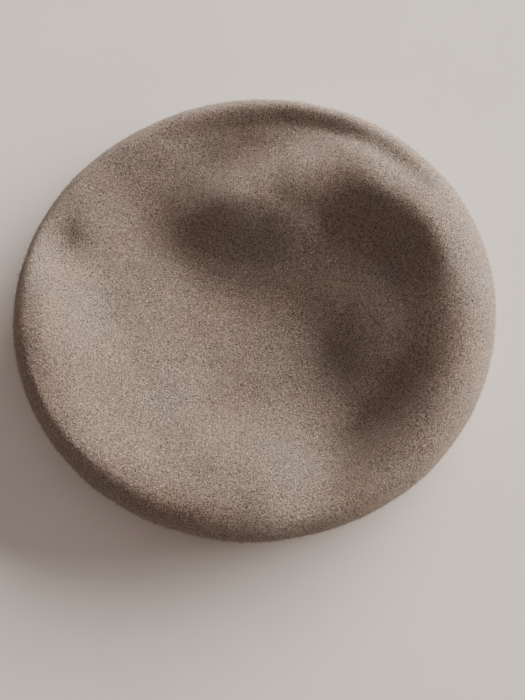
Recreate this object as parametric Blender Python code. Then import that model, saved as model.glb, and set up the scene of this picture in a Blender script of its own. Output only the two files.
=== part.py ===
"""Beret of fulled wool, built as the separate pieces it is sewn from.

Metres, +Z up. The beret lies crown up on the floor, front towards -Y, so the wearer's left is +X.
The wool body is one surface, described by outer_point: it runs from the middle of the top, over
the rim and under it, to the raw edge of the head opening. Every soft piece is a layer of that
surface between two depths below the outside of the wool.
"""

import math
from dataclasses import dataclass

import bmesh
import bpy
from mathutils import Vector

MM = 0.001

# Wool body
BODY_LENGTH = 280.4 * MM
BODY_WIDTH = 268.0 * MM
LONG_AXIS_TURN = math.radians(8)
FELT = 2.4 * MM
WIDEST_HEIGHT = 17.5 * MM
WIDEST_TILT = 6.0 * MM
WIDEST_DIRECTION = math.radians(-105)
ROLL_UNDER = 12.0 * MM

# Crest of the rim: its height and how far in from the edge it runs, round the body
CREST_HEIGHT = 36.0 * MM
CREST_TILT = 7.0 * MM
CREST_BULGE = 6.0 * MM
BULGE_DIRECTION = math.radians(35)
CREST_INSET = 0.135
CREST_INSET_CHANGE = 0.07

# Slope from the crest down to the sunken middle
MIDDLE_HEIGHT = 18.5 * MM
SLOPE_SHARE = 0.41
SLOPE_CHANGE = 0.07
LONG_SLOPE_DIRECTION = math.radians(-50)
FORM_FADE = 0.15

# Clearance between neighbours that touch
CLEARANCE = 0.3 * MM

# Head opening and its binding, which holds the raw edge of the wool between two leather legs
HEAD_GIRTH = 570.0 * MM
OPENING_RADIUS = HEAD_GIRTH / (2 * math.pi)
LEATHER = 1.0 * MM
BINDING_WIDTH = 12.0 * MM
BINDING_HEIGHT = FELT + 2 * (LEATHER + CLEARANCE)
BACK_GAP = 16.0 * MM
BACK = math.radians(90)

# Drawstring, which runs inside the fold of the binding
CORD_RADIUS = 1.1 * MM
KNOT_RADIUS = 2.2 * MM
KNOT_HALF_LENGTH = 3.0 * MM

# Underside of the wool, from the floor contact in to the binding
EDGE_HEIGHT = LEATHER + CLEARANCE
UNDER_HEIGHT = 2.2 * MM
UNDER_RISE = 6.0 * MM
EDGE_RADIUS = OPENING_RADIUS + BINDING_HEIGHT / 2 + CORD_RADIUS + 0.4 * MM
SEWN_RADIUS = OPENING_RADIUS + BINDING_WIDTH + 0.8 * MM
UNDER_RADIUS = SEWN_RADIUS + 3.0 * MM

# Lining, stiffener and label, as depths below the outside of the wool
CLOTH = 0.4 * MM
LINING_DEPTH = BINDING_HEIGHT - EDGE_HEIGHT + CLEARANCE
TIP_EDGE = 0.95
LINING_OVERLAP = 6.0 * MM
STIFFENER_DEPTH = FELT + CLEARANCE
STIFFENER = 1.0 * MM
LABEL_DEPTH = LINING_DEPTH + CLOTH + CLEARANCE
LABEL = 0.25 * MM

# Vent eyelets on the wearer's right
EYELET_SPACING = math.radians(15)
EYELET_DIRECTION = math.radians(180)
BORE_RADIUS = 1.7 * MM
BARREL_RADIUS = 2.1 * MM
LIP_RADIUS = 2.8 * MM
FLANGE_RADIUS = 3.8 * MM
EYELET_RADIUS = UNDER_RADIUS + FLANGE_RADIUS + 1.2 * MM
BRASS = 0.4 * MM
WASHER = 0.3 * MM

# Resolution
COLUMNS = 48
COLUMN = 2 * math.pi / COLUMNS
TOP_ROWS = 12
RIM_ROWS = 3


@dataclass(frozen=True)
class Swell:
    """A place where the top is pushed up or pressed in."""

    x: float
    y: float
    length: float
    width: float
    turn: float
    rise: float

    def height(self, x: float, y: float) -> float:
        """Return how far this swell moves the top at a point."""
        along = (x - self.x) * math.cos(self.turn) + (y - self.y) * math.sin(self.turn)
        across = (y - self.y) * math.cos(self.turn) - (x - self.x) * math.sin(self.turn)
        return self.rise * math.exp(-((along / self.length) ** 2) - (across / self.width) ** 2)


def swell(x: float, y: float, length: float, width: float, turn: float, rise: float) -> Swell:
    """Return a swell from its sizes in millimetres and its turn in degrees."""
    return Swell(x * MM, y * MM, length * MM, width * MM, math.radians(turn), rise * MM)


SWELLS = (
    swell(-29, 28, 62, 30, -36, -9.5),    # hollow left of the middle
    swell(26, 72, 29, 28, 43, 15),        # inner bump behind the middle
    swell(-11, 72, 38, 24, 41, 15.5),     # ridge behind the hollow
    swell(23, 102, 72, 35, 12, -18),      # groove along the back of the rim
    swell(86, 51, 28, 15, -55, 7),        # shoulder at the back right
    swell(61, 5, 48, 22, -99, 22),        # inner slope of the right rim
    swell(67, 19, 89, 22, 73, -15),       # long hollow inside the right rim
    swell(65, -69, 44, 15, 48, -11.5),    # crease across the front right
    swell(-56, -53, 90, 23, -33, 6),      # low swell at the front left
    swell(-140, 55, 41, 17, -34, -14),    # dimple near the left edge
)


def smooth_step(value: float) -> float:
    """Return 0 below 0, 1 above 1 and a smooth change between them."""
    share = min(max(value, 0.0), 1.0)
    return share * share * (3 - 2 * share)


def body_radius(angle: float) -> float:
    """Return the distance from the middle to the widest line of the rim."""
    along = math.cos(angle - LONG_AXIS_TURN) / (BODY_LENGTH / 2)
    across = math.sin(angle - LONG_AXIS_TURN) / (BODY_WIDTH / 2)
    return 1 / math.hypot(along, across)


def crest_height(angle: float) -> float:
    """Return the height of the rim's crest."""
    bulge = CREST_BULGE * math.cos(2 * (angle - BULGE_DIRECTION))
    return CREST_HEIGHT + CREST_TILT * math.cos(angle) + bulge


def widest_height(angle: float) -> float:
    """Return the height of the rim's widest line."""
    return WIDEST_HEIGHT + WIDEST_TILT * math.cos(angle - WIDEST_DIRECTION)


def crest_share(angle: float) -> float:
    """Return where the crest runs, as a share of the body's radius."""
    return 1 - CREST_INSET - CREST_INSET_CHANGE * math.cos(angle)


def form_height(share: float, angle: float) -> float:
    """Return how far the swells move the top, fading out at the widest line."""
    radius = share * body_radius(angle)
    x, y = radius * math.cos(angle), radius * math.sin(angle)
    return smooth_step((1 - share) / FORM_FADE) * sum(form.height(x, y) for form in SWELLS)


def top_point(row: float, angle: float) -> Vector:
    """Return a point between the middle of the top, row 0, and the crest, row 1."""
    crest = crest_share(angle)
    share = row * crest
    slope = SLOPE_SHARE + SLOPE_CHANGE * math.cos(angle - LONG_SLOPE_DIRECTION)
    drop = smooth_step((crest - share) / slope)
    height = crest_height(angle) + (MIDDLE_HEIGHT - crest_height(angle)) * drop
    return ring_point(share * body_radius(angle), angle, height + form_height(share, angle))


def upper_rim_point(row: float, angle: float) -> Vector:
    """Return a point between the crest, row 0, and the widest line, row 1."""
    crest = crest_share(angle)
    bend = row * math.pi / 2
    share = crest + (1 - crest) * math.sin(bend)
    widest = widest_height(angle)
    height = widest + (crest_height(angle) - widest) * math.cos(bend)
    return ring_point(share * body_radius(angle), angle, height + form_height(share, angle))


def lower_rim_point(row: float, angle: float) -> Vector:
    """Return a point between the widest line, row 0, and the floor contact, row 1."""
    bend = row * math.pi / 2
    radius = body_radius(angle) - ROLL_UNDER * (1 - math.cos(bend))
    return ring_point(radius, angle, widest_height(angle) * (1 - math.sin(bend)))


def underside_point(row: float, angle: float) -> Vector:
    """Return a point between the floor contact, row 0, and the raw edge, row 1."""
    contact = body_radius(angle) - ROLL_UNDER
    stations = (contact, contact - UNDER_RISE, UNDER_RADIUS, SEWN_RADIUS, EDGE_RADIUS)
    rows = (0.0, 0.3, 0.6, 0.8, 1.0)
    step = max(index for index in range(4) if rows[index] <= row)
    share = (row - rows[step]) / (rows[step + 1] - rows[step])
    radius = stations[step] + (stations[step + 1] - stations[step]) * share
    rise = smooth_step((contact - radius) / UNDER_RISE)
    drop = smooth_step((UNDER_RADIUS - radius) / (UNDER_RADIUS - SEWN_RADIUS))
    return ring_point(radius, angle, UNDER_HEIGHT * rise - (UNDER_HEIGHT - EDGE_HEIGHT) * drop)


def ring_point(radius: float, angle: float, height: float) -> Vector:
    """Return the point at a radius, an angle and a height."""
    return Vector((radius * math.cos(angle), radius * math.sin(angle), height))


ZONES = (top_point, upper_rim_point, lower_rim_point, underside_point)
UNDERSIDE = ZONES.index(underside_point)


def outer_point(row: float, angle: float) -> Vector:
    """Return a point on the outside of the wool, one whole row number for each zone."""
    zone = min(int(row), len(ZONES) - 1)
    return ZONES[zone](row - zone, angle)


def inward(row: float, angle: float) -> Vector:
    """Return the unit vector from the outside of the wool into it, straight up at the underside."""
    step = 1e-3
    if row >= UNDERSIDE:
        return Vector((0, 0, 1))
    if row < step:
        ends = [outer_point(step, turn) for turn in (0, math.pi, math.pi / 2, -math.pi / 2)]
        return -(ends[0] - ends[1]).cross(ends[2] - ends[3]).normalized()
    down = outer_point(row + step, angle) - outer_point(row - step, angle)
    around = outer_point(row, angle + step) - outer_point(row, angle - step)
    return -down.cross(around).normalized()


def layer_point(row: float, angle: float, depth: float) -> Vector:
    """Return a point at a depth below the outside of the wool."""
    return outer_point(row, angle) + inward(row, angle) * depth


def body_rows() -> list[float]:
    """Return the rows of the whole wool body, from the middle to the raw edge."""
    rows = [index / TOP_ROWS for index in range(TOP_ROWS)]
    rows += [1 + index / RIM_ROWS for index in range(2 * RIM_ROWS)]
    return rows + [3.0, 3.1, 3.2, 3.3, 3.6, 3.7, 3.8, 4.0]


def rows_between(first: float, last: float) -> list[float]:
    """Return the body's rows from one row to another, with both ends."""
    return [first] + [row for row in body_rows() if first < row < last] + [last]


def sewn_row(radius: float) -> float:
    """Return the row of a radius between the binding's edge and the raw edge."""
    return 3.8 + 0.2 * (SEWN_RADIUS - radius) / (SEWN_RADIUS - EDGE_RADIUS)


def add_material(name: str, colour: tuple, roughness: float, metallic: float):
    """Return a plain material."""
    material = bpy.data.materials.new(name)
    material.use_nodes = True
    shader = material.node_tree.nodes["Principled BSDF"]
    shader.inputs["Base Color"].default_value = (*colour, 1.0)
    shader.inputs["Roughness"].default_value = roughness
    shader.inputs["Metallic"].default_value = metallic
    return material


def add_object(name: str, solid: bmesh.types.BMesh, material, location=(0.0, 0.0, 0.0)):
    """Return a new smooth-shaded object made from a solid."""
    bmesh.ops.recalc_face_normals(solid, faces=solid.faces)
    mesh = bpy.data.meshes.new(name)
    solid.to_mesh(mesh)
    solid.free()
    mesh.shade_smooth()
    mesh.set_sharp_from_angle(angle=math.radians(40))
    piece = bpy.data.objects.new(name, mesh)
    piece.location = location
    if material:
        mesh.materials.append(material)
    bpy.context.scene.collection.objects.link(piece)
    return piece


def add_ring(solid, points: list[Vector]) -> list:
    """Return new vertices at the points, all at one vertex if the points coincide."""
    if (points[0] - points[-1]).length < 1e-7:
        return [solid.verts.new(points[0])] * len(points)
    return [solid.verts.new(point) for point in points]


def skin(solid, rings: list[list], closed: bool):
    """Join neighbouring rings of vertices with faces."""
    for near, far in zip(rings, rings[1:]):
        count = len(near)
        for index in range(count if closed else count - 1):
            following = (index + 1) % count
            corners = dict.fromkeys((near[index], near[following], far[following], far[index]))
            if len(corners) > 2:
                solid.faces.new(list(corners))


def layer(rows: list[float], angles: list[float], near: float, far: float, closed: bool):
    """Return a closed solid between two depths over a patch of the wool body."""
    solid = bmesh.new()
    outside = [add_ring(solid, [layer_point(row, turn, near) for turn in angles]) for row in rows]
    inside = [add_ring(solid, [layer_point(row, turn, far) for turn in angles]) for row in rows]
    skin(solid, outside, closed)
    skin(solid, inside, closed)
    if rows[0] > 0:
        skin(solid, [outside[0], inside[0]], closed)
    skin(solid, [outside[-1], inside[-1]], closed)
    if not closed:
        for side in (0, -1):
            skin(solid, [[ring[side] for ring in outside], [ring[side] for ring in inside]], False)
    return solid


def whole_turn() -> list[float]:
    """Return the angles of all columns."""
    return [index * COLUMN for index in range(COLUMNS)]


def turned(profile: list[tuple], segments: int):
    """Return the closed solid that a (radius, height) profile makes round the Z axis."""
    solid = bmesh.new()
    turns = [2 * math.pi * index / segments for index in range(segments)]
    rings = [add_ring(solid, [ring_point(radius, turn, height) for turn in turns])
             for radius, height in profile]
    skin(solid, rings + rings[:1], True)
    return solid


def add_crown(material):
    """Model the wool body with its two vent holes."""
    solid = layer(body_rows(), whole_turn(), 0.0, FELT, True)
    crown = add_object("crown", solid, material)
    for name, centre in eyelet_places():
        cutter_solid = bmesh.new()
        bmesh.ops.create_cone(cutter_solid, cap_ends=True, segments=20, depth=12 * MM,
                              radius1=BARREL_RADIUS + CLEARANCE, radius2=BARREL_RADIUS + CLEARANCE)
        cutter = add_object("vent_cutter_" + name, cutter_solid, None, centre)
        cutter.hide_render = True
        cutter.display_type = "WIRE"
        hole = crown.modifiers.new("vent_" + name, "BOOLEAN")
        hole.object = cutter
        hole.operation = "DIFFERENCE"


def binding_profile() -> list[tuple]:
    """Return the folded strip's section, a U that opens away from the head."""
    fold = BINDING_HEIGHT / 2
    centre = OPENING_RADIUS + fold
    rim = OPENING_RADIUS + BINDING_WIDTH
    bends = [math.radians(270 - 30 * index) for index in range(7)]
    outer = [(centre + fold * math.cos(bend), fold + fold * math.sin(bend)) for bend in bends]
    inside = fold - LEATHER
    inner = [(centre + inside * math.cos(bend), fold + inside * math.sin(bend))
             for bend in reversed(bends)]
    upper_end = [(rim, BINDING_HEIGHT), (rim, BINDING_HEIGHT - LEATHER)]
    lower_end = [(rim, LEATHER), (rim, 0.0)]
    return outer + upper_end + inner + lower_end


def add_binding(material):
    """Model the leather strip that is folded over the raw edge, open at the back."""
    solid = bmesh.new()
    half_gap = BACK_GAP / 2 / OPENING_RADIUS
    start, span = BACK + half_gap, 2 * (math.pi - half_gap)
    profile = binding_profile()
    rings = []
    for index in range(COLUMNS + 1):
        turn = start + span * index / COLUMNS
        rings.append(add_ring(solid, [ring_point(radius, turn, z) for radius, z in profile]))
    skin(solid, rings, True)
    solid.faces.new(rings[0])
    solid.faces.new(rings[-1])
    add_object("headband_binding", solid, material)


def cord_radius(offset: float) -> float:
    """Return the cord's radius at an angle from the back, where it is knotted."""
    away = abs(offset) * OPENING_RADIUS / KNOT_HALF_LENGTH
    if away >= 1:
        return CORD_RADIUS
    return CORD_RADIUS + (KNOT_RADIUS - CORD_RADIUS) * math.sqrt(1 - away * away)


def add_drawstring(material):
    """Model the cord all the way round, with the knot that ties its ends together."""
    solid = bmesh.new()
    centre = OPENING_RADIUS + BINDING_HEIGHT / 2
    knot_half = KNOT_HALF_LENGTH / OPENING_RADIUS
    knot = [knot_half * share for share in (-1.0, -0.9, -0.6, 0.0, 0.6, 0.9)]
    rest = [knot_half + (2 * math.pi - 2 * knot_half) * index / COLUMNS for index in range(COLUMNS)]
    rings = []
    for offset in knot + rest:
        radius = cord_radius(math.remainder(offset, 2 * math.pi))
        shift = centre - (radius - CORD_RADIUS)
        bends = [2 * math.pi * index / 10 for index in range(10)]
        rings.append(add_ring(solid, [
            ring_point(shift + radius * math.cos(bend), BACK + offset,
                       BINDING_HEIGHT / 2 + radius * math.sin(bend)) for bend in bends]))
    skin(solid, rings + rings[:1], True)
    add_object("drawstring", solid, material)


def add_linings(material):
    """Model the round panel under the top and the cloth ring from it to the binding."""
    far = LINING_DEPTH + CLOTH
    tip = layer(rows_between(0.0, TIP_EDGE), whole_turn(), LINING_DEPTH, far, True)
    add_object("lining_tip", tip, material)
    seam = TIP_EDGE + CLEARANCE / (BODY_LENGTH / 2)
    end = sewn_row(OPENING_RADIUS + BINDING_WIDTH - LINING_OVERLAP)
    side = layer(rows_between(seam, end), whole_turn(), LINING_DEPTH, far, True)
    add_object("lining_side", side, material)


def columns_round(middle: int, count: int) -> list[float]:
    """Return the angles of a number of columns with the given one in the middle."""
    return [(middle - count // 2 + index) * COLUMN for index in range(count + 1)]


def add_stiffener(material):
    """Model the panel that backs the left front, between wool and lining."""
    solid = layer(rows_between(2.0, 3.6), columns_round(-8, 4),
                  STIFFENER_DEPTH, STIFFENER_DEPTH + STIFFENER, False)
    add_object("badge_stiffener", solid, material)


def add_label(material):
    """Model the blank woven tag on the lining at the back."""
    solid = layer(rows_between(3.0, 3.6), columns_round(COLUMNS // 4, 2),
                  LABEL_DEPTH, LABEL_DEPTH + LABEL, False)
    add_object("size_label", solid, material)


def eyelet_places() -> list[tuple[str, Vector]]:
    """Return the name and the place of each vent eyelet."""
    turns = (("front", EYELET_SPACING / 2), ("rear", -EYELET_SPACING / 2))
    return [(name, ring_point(EYELET_RADIUS, EYELET_DIRECTION + turn, 0.0)) for name, turn in turns]


def add_eyelets(material):
    """Model each flanged eyelet and the washer that it is closed on."""
    flange = UNDER_HEIGHT - CLEARANCE
    washer = UNDER_HEIGHT + FELT + CLEARANCE
    lip = washer + WASHER + CLEARANCE
    eyelet_profile = [(BORE_RADIUS, flange - BRASS), (FLANGE_RADIUS, flange - BRASS),
                      (FLANGE_RADIUS, flange), (BARREL_RADIUS, flange), (BARREL_RADIUS, lip),
                      (LIP_RADIUS, lip), (LIP_RADIUS, lip + WASHER), (BORE_RADIUS, lip + WASHER)]
    hole = BARREL_RADIUS + CLEARANCE
    washer_profile = [(hole, washer), (FLANGE_RADIUS, washer),
                      (FLANGE_RADIUS, washer + WASHER), (hole, washer + WASHER)]
    for name, centre in eyelet_places():
        add_object("eyelet_" + name, turned(eyelet_profile, 20), material, centre)
        add_object("eyelet_washer_" + name, turned(washer_profile, 20), material, centre)


def main():
    """Build the beret in an empty scene."""
    for old in list(bpy.data.objects):
        bpy.data.objects.remove(old, do_unlink=True)
    add_crown(add_material("khaki_wool", (0.30, 0.235, 0.18), 0.95, 0.0))
    add_binding(add_material("brown_leather", (0.10, 0.06, 0.04), 0.55, 0.0))
    add_drawstring(add_material("brown_cord", (0.09, 0.07, 0.05), 0.9, 0.0))
    add_linings(add_material("lining_cloth", (0.16, 0.13, 0.10), 0.8, 0.0))
    add_stiffener(add_material("buckram", (0.55, 0.52, 0.45), 0.9, 0.0))
    add_eyelets(add_material("darkened_brass", (0.25, 0.19, 0.11), 0.45, 1.0))
    add_label(add_material("label_cloth", (0.75, 0.73, 0.68), 0.85, 0.0))


main()
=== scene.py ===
"""Looks of a fulled wool beret that lies crown up, with its leather binding, lining and vents.

Metres, +Z up, front towards -Y. Each sub-assembly is a class that builds its meshes and dresses
them. The wool body is one surface, and the lining, stiffener and label are layers under it.
"""

from __future__ import annotations

import logging
import math
from dataclasses import dataclass, field
from enum import Enum
from typing import Callable, Iterable, Sequence

import bmesh
import bpy
import numpy as np
from mathutils import Matrix, Vector, noise

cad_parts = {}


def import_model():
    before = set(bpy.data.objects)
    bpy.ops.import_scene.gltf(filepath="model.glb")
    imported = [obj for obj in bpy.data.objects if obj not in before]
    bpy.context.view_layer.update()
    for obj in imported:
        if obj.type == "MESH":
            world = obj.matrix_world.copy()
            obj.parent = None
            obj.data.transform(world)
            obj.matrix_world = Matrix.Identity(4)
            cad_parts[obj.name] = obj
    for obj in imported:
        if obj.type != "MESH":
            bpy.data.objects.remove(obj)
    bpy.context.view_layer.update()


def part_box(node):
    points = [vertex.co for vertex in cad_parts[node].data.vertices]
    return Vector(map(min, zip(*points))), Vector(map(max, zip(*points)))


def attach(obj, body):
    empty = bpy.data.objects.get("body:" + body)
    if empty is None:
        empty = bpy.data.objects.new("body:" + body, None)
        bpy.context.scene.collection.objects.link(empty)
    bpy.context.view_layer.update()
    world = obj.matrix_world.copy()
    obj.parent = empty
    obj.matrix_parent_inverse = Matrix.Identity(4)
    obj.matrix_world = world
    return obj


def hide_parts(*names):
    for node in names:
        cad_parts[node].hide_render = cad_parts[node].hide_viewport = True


LOG = logging.getLogger("beret")
MM = 0.001
UV_NAME = "UVMap"
WHOLE_TURN = 2 * math.pi
SHARP_ANGLE = math.radians(50)
LINE_POINTS = 700

VENT_ENDS = ("front", "rear")

Points = np.ndarray
Faces = list[tuple[int, ...]]


# ---------------------------------------------------------------------------------------------
# Shader writing


class Value:
    """A shader socket that takes part in arithmetic."""

    def __init__(self, graph: "Graph", socket: bpy.types.NodeSocket) -> None:
        """Wrap a socket of a graph."""
        self.graph = graph
        self.socket = socket

    def __add__(self, other: "Operand") -> "Value":
        """Return the sum."""
        return self.graph.maths("ADD", self, other)

    __radd__ = __add__

    def __sub__(self, other: "Operand") -> "Value":
        """Return the difference."""
        return self.graph.maths("SUBTRACT", self, other)

    def __rsub__(self, other: "Operand") -> "Value":
        """Return the difference from a number."""
        return self.graph.maths("SUBTRACT", other, self)

    def __mul__(self, other: "Operand") -> "Value":
        """Return the product."""
        return self.graph.maths("MULTIPLY", self, other)

    __rmul__ = __mul__


Operand = Value | float
Setting = object


def add_node(tree: bpy.types.NodeTree, kind: str, settings: dict[str, Setting] | None = None,
             inputs: dict[str | int, Setting] | None = None) -> bpy.types.Node:
    """Return a new node.

    Args:
        tree: The tree that it goes in.
        kind: The node's type.
        settings: Its own values.
        inputs: Values or links for its sockets, by name or number.

    Returns:
        The node.
    """
    made = tree.nodes.new(kind)
    for key, setting in (settings or {}).items():
        setattr(made, key, setting)
    for key, value in (inputs or {}).items():
        plug(tree, made.inputs[key], value)
    return made


def plug(tree: bpy.types.NodeTree, socket: bpy.types.NodeSocket, value: Setting) -> None:
    """Link a socket to a value that is a socket, or set it.

    Args:
        tree: The tree that both are in.
        socket: The socket.
        value: A value, another socket, or a plain setting.
    """
    source = value.socket if isinstance(value, Value) else value
    if isinstance(source, bpy.types.NodeSocket):
        tree.links.new(source, socket)
    else:
        socket.default_value = source


class Graph:
    """One material's node tree, with its Principled shader."""

    def __init__(self, name: str) -> None:
        """Make an empty material with a Principled shader wired to its output.

        Args:
            name: The material's name.
        """
        self.material = bpy.data.materials.new(name)
        self.material.use_nodes = True
        self.tree = self.material.node_tree
        self.shader = self.tree.nodes["Principled BSDF"]

    def value(self, kind: str, settings: dict[str, Setting] | None = None,
              inputs: dict[str | int, Setting] | None = None, output: str | int = 0) -> Value:
        """Return one output of a new node."""
        return Value(self, add_node(self.tree, kind, settings, inputs).outputs[output])

    def thread_axes(self) -> tuple[Value, Value]:
        """Return the UV map's two coordinates, along and across the threads.

        Returns:
            The two coordinates, in metres or turns as the piece has them.
        """
        place = self.value("ShaderNodeUVMap", {"uv_map": UV_NAME})
        parts = add_node(self.tree, "ShaderNodeSeparateXYZ", {}, {0: place})
        return Value(self, parts.outputs[0]), Value(self, parts.outputs[1])

    def maths(self, operation: str, *terms: Operand) -> Value:
        """Return the result of a Math node."""
        inputs = dict(enumerate(terms))
        return self.value("ShaderNodeMath", {"operation": operation}, inputs)

    def points(self, turn: tuple[float, float, float] = (0, 0, 0),
               stretch: tuple[float, float, float] = (1, 1, 1)) -> Value:
        """Return the object's own coordinates, turned in degrees and stretched.

        Args:
            turn: Degrees about X, Y and Z.
            stretch: Factors along X, Y and Z.

        Returns:
            The coordinates.
        """
        place = self.value("ShaderNodeTexCoord", output="Object")
        angles = tuple(math.radians(angle) for angle in turn)
        return self.value("ShaderNodeMapping", {},
                          {"Vector": place, "Rotation": angles, "Scale": stretch})

    def noise(self, vector: Value, size: float, detail: float = 2.0, rough: float = 0.5,
              bend: float = 0.0) -> Value:
        """Return noise whose features are about a size across.

        Args:
            vector: Where it is read.
            size: About how wide its features are, in metres.
            detail: How many finer layers it has.
            rough: How strong they are.
            bend: How far it is pulled about.

        Returns:
            The noise, from about 0 to 1.
        """
        return self.value("ShaderNodeTexNoise", {}, {
            "Vector": vector, "Scale": 1 / size, "Detail": detail, "Roughness": rough,
            "Distortion": bend}, output="Fac")

    def spread(self, value: Value, low: float, high: float) -> Value:
        """Return a value stretched so that low to high becomes 0 to 1, held at the ends."""
        return self.value("ShaderNodeMapRange", {"clamp": True}, {
            "Value": value, "From Min": low, "From Max": high, "To Min": 0.0, "To Max": 1.0})

    def blend(self, share: Operand, first: Setting, second: Setting, how: str = "MIX") -> Value:
        """Return two colours mixed."""
        return self.value("ShaderNodeMix", {"data_type": "RGBA", "blend_type": how},
                          {0: share, 6: first, 7: second}, output=2)

    def toned(self, tone: Value, colour: Setting) -> Value:
        """Return a colour made lighter and darker by a tone."""
        tones = self.value("ShaderNodeCombineColor", {}, {0: tone, 1: tone, 2: tone})
        return self.blend(1.0, colour, tones, "MULTIPLY")

    def bump(self, height: Value, depth: float, under: Value | None = None) -> Value:
        """Return a normal that is raised and sunk by a height of 0 to 1.

        Args:
            height: The height.
            depth: What a height of 1 stands for, in metres.
            under: A normal that this one is added to.

        Returns:
            The normal.
        """
        inputs: dict[str | int, Setting] = {"Height": height, "Distance": depth, "Strength": 1.0}
        if under is not None:
            inputs["Normal"] = under
        return self.value("ShaderNodeBump", {}, inputs)

    def finish(self, **sockets: Setting) -> bpy.types.Material:
        """Set the shader's sockets, by name with spaces written as underscores.

        Args:
            sockets: A value or a setting for each socket.

        Returns:
            The finished material.
        """
        for key, value in sockets.items():
            plug(self.tree, self.shader.inputs[key.replace("_", " ")], value)
        return self.material


def rgba(colour: Sequence[float]) -> tuple[float, float, float, float]:
    """Return a colour with full cover."""
    return (colour[0], colour[1], colour[2], 1.0)


def scaled(colour: Sequence[float], factor: float) -> tuple[float, float, float]:
    """Return a colour made lighter or darker."""
    return (colour[0] * factor, colour[1] * factor, colour[2] * factor)


# ---------------------------------------------------------------------------------------------
# Finishes


@dataclass(frozen=True)
class WoolFinish:
    """Fulled wool: crossed short fibres, small clumps and a faint melange of tones."""

    colour: tuple[float, float, float] = (0.347, 0.270, 0.211)
    strand: float = 0.95 * MM
    strand_stretch: float = 2.2
    clump: float = 2.2 * MM
    patch: float = 26.0 * MM
    strand_depth: float = 0.65 * MM
    clump_depth: float = 0.60 * MM
    tone_change: float = 2.4
    speck: float = 0.9 * MM
    tint: float = 34.0 * MM
    warm: tuple[float, float, float] = (1.035, 0.975, 0.95)
    cool: tuple[float, float, float] = (0.975, 1.0, 1.035)
    sheen: float = 0.35
    sheen_colour: tuple[float, float, float] = (0.95, 0.88, 0.80)

    def material(self) -> bpy.types.Material:
        """Return the material.

        Returns:
            Speckled felt with a bump of crossed fibres on soft clumps.
        """
        graph = Graph("fulled_wool")
        ways = [((20, 35, 25), (1, self.strand_stretch, 1)),
                ((-30, 15, 80), (self.strand_stretch, 1, 1)),
                ((10, -40, -50), (1, 1, self.strand_stretch))]
        strands = [graph.noise(graph.points(turn, stretch), self.strand, 2.0, 0.6, 0.4)
                   for turn, stretch in ways]
        felted = graph.maths("MAXIMUM", graph.maths("MAXIMUM", *strands[:2]), strands[2])
        strand = graph.spread(felted, 0.42, 0.78)
        clump = graph.noise(graph.points(), self.clump, 3.0, 0.6)
        patch = graph.noise(graph.points(), self.patch, 3.0, 0.5)
        speck = graph.spread(graph.noise(graph.points(), self.speck, 1.0, 0.5), 0.60, 0.76)
        tone = 1.0 + self.tone_change * (strand - 0.5) + 0.10 * (clump - 0.5)
        shade = tone + 0.12 * (patch - 0.5) + 0.16 * speck
        colour = graph.toned(shade, rgba(self.colour))
        tint = graph.noise(graph.points(), self.tint, 3.0, 0.6)
        hue = graph.blend(graph.spread(tint, 0.36, 0.64), rgba(self.warm), rgba(self.cool))
        dyed = graph.blend(1.0, colour, hue, "MULTIPLY")
        coarse = graph.bump(clump, self.clump_depth)
        fine = graph.bump(strand, self.strand_depth, coarse)
        return graph.finish(Base_Color=dyed, Normal=fine, Roughness=0.95,
                            Specular_IOR_Level=0.15, Sheen_Weight=self.sheen,
                            Sheen_Roughness=0.6, Sheen_Tint=rgba(self.sheen_colour))


@dataclass(frozen=True)
class FibreFinish:
    """Loose fibres that stand out of the wool, in one plain tone."""

    name: str
    colour: tuple[float, float, float]

    def material(self) -> bpy.types.Material:
        """Return the material.

        Returns:
            A plain tone with a soft sheen.
        """
        graph = Graph(self.name)
        return graph.finish(Base_Color=rgba(self.colour), Roughness=0.9, Specular_IOR_Level=0.1,
                            Sheen_Weight=0.4, Sheen_Roughness=0.5)


@dataclass(frozen=True)
class LeatherFinish:
    """Thin binding leather with a fine pebbled grain, rubbed lighter on the fold."""

    colour: tuple[float, float, float] = (0.105, 0.062, 0.038)
    pebble: float = 0.9 * MM
    pebble_depth: float = 0.16 * MM
    crease: float = 7.0 * MM
    crease_depth: float = 0.25 * MM
    stain: float = 30.0 * MM
    fold_radius: float = 0.0907
    fold_width: float = 2.6 * MM

    def material(self) -> bpy.types.Material:
        """Return the material.

        Returns:
            Pebbled leather that is lighter where the fold is rubbed.
        """
        graph = Graph("binding_leather")
        cells = graph.value("ShaderNodeTexVoronoi", {"feature": "SMOOTH_F1"}, {
            "Vector": graph.points(), "Scale": 1 / self.pebble, "Smoothness": 0.5},
            output="Distance")
        crease = graph.noise(graph.points(stretch=(1, 1, 2)), self.crease, 4.0, 0.6, 0.8)
        stain = graph.noise(graph.points(), self.stain, 3.0, 0.5)
        place = graph.value("ShaderNodeTexCoord", output="Object")
        flat = graph.value("ShaderNodeVectorMath", {"operation": "MULTIPLY"},
                           {0: place, 1: (1, 1, 0)})
        radius = graph.value("ShaderNodeVectorMath", {"operation": "LENGTH"}, {0: flat},
                             output="Value")
        rubbed = 1.0 - graph.spread(radius, self.fold_radius, self.fold_radius + self.fold_width)
        worn = graph.spread(rubbed * 0.8 + crease * 0.5, 0.55, 1.1)
        aged = graph.blend(graph.spread(stain, 0.3, 0.7), rgba(scaled(self.colour, 0.78)),
                           rgba(scaled(self.colour, 1.2)))
        colour = graph.blend(worn * 0.6, aged, rgba(scaled(self.colour, 2.1)))
        rough = 0.42 + 0.18 * crease + 0.1 * cells
        grain = graph.bump(cells, self.pebble_depth, graph.bump(crease, self.crease_depth))
        return graph.finish(Base_Color=colour, Roughness=rough, Normal=grain,
                            Specular_IOR_Level=0.45)


class Weave(Enum):
    """How a cloth is woven: the warp and weft floats per repeat."""

    PLAIN = 1
    SATIN = 4


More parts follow.
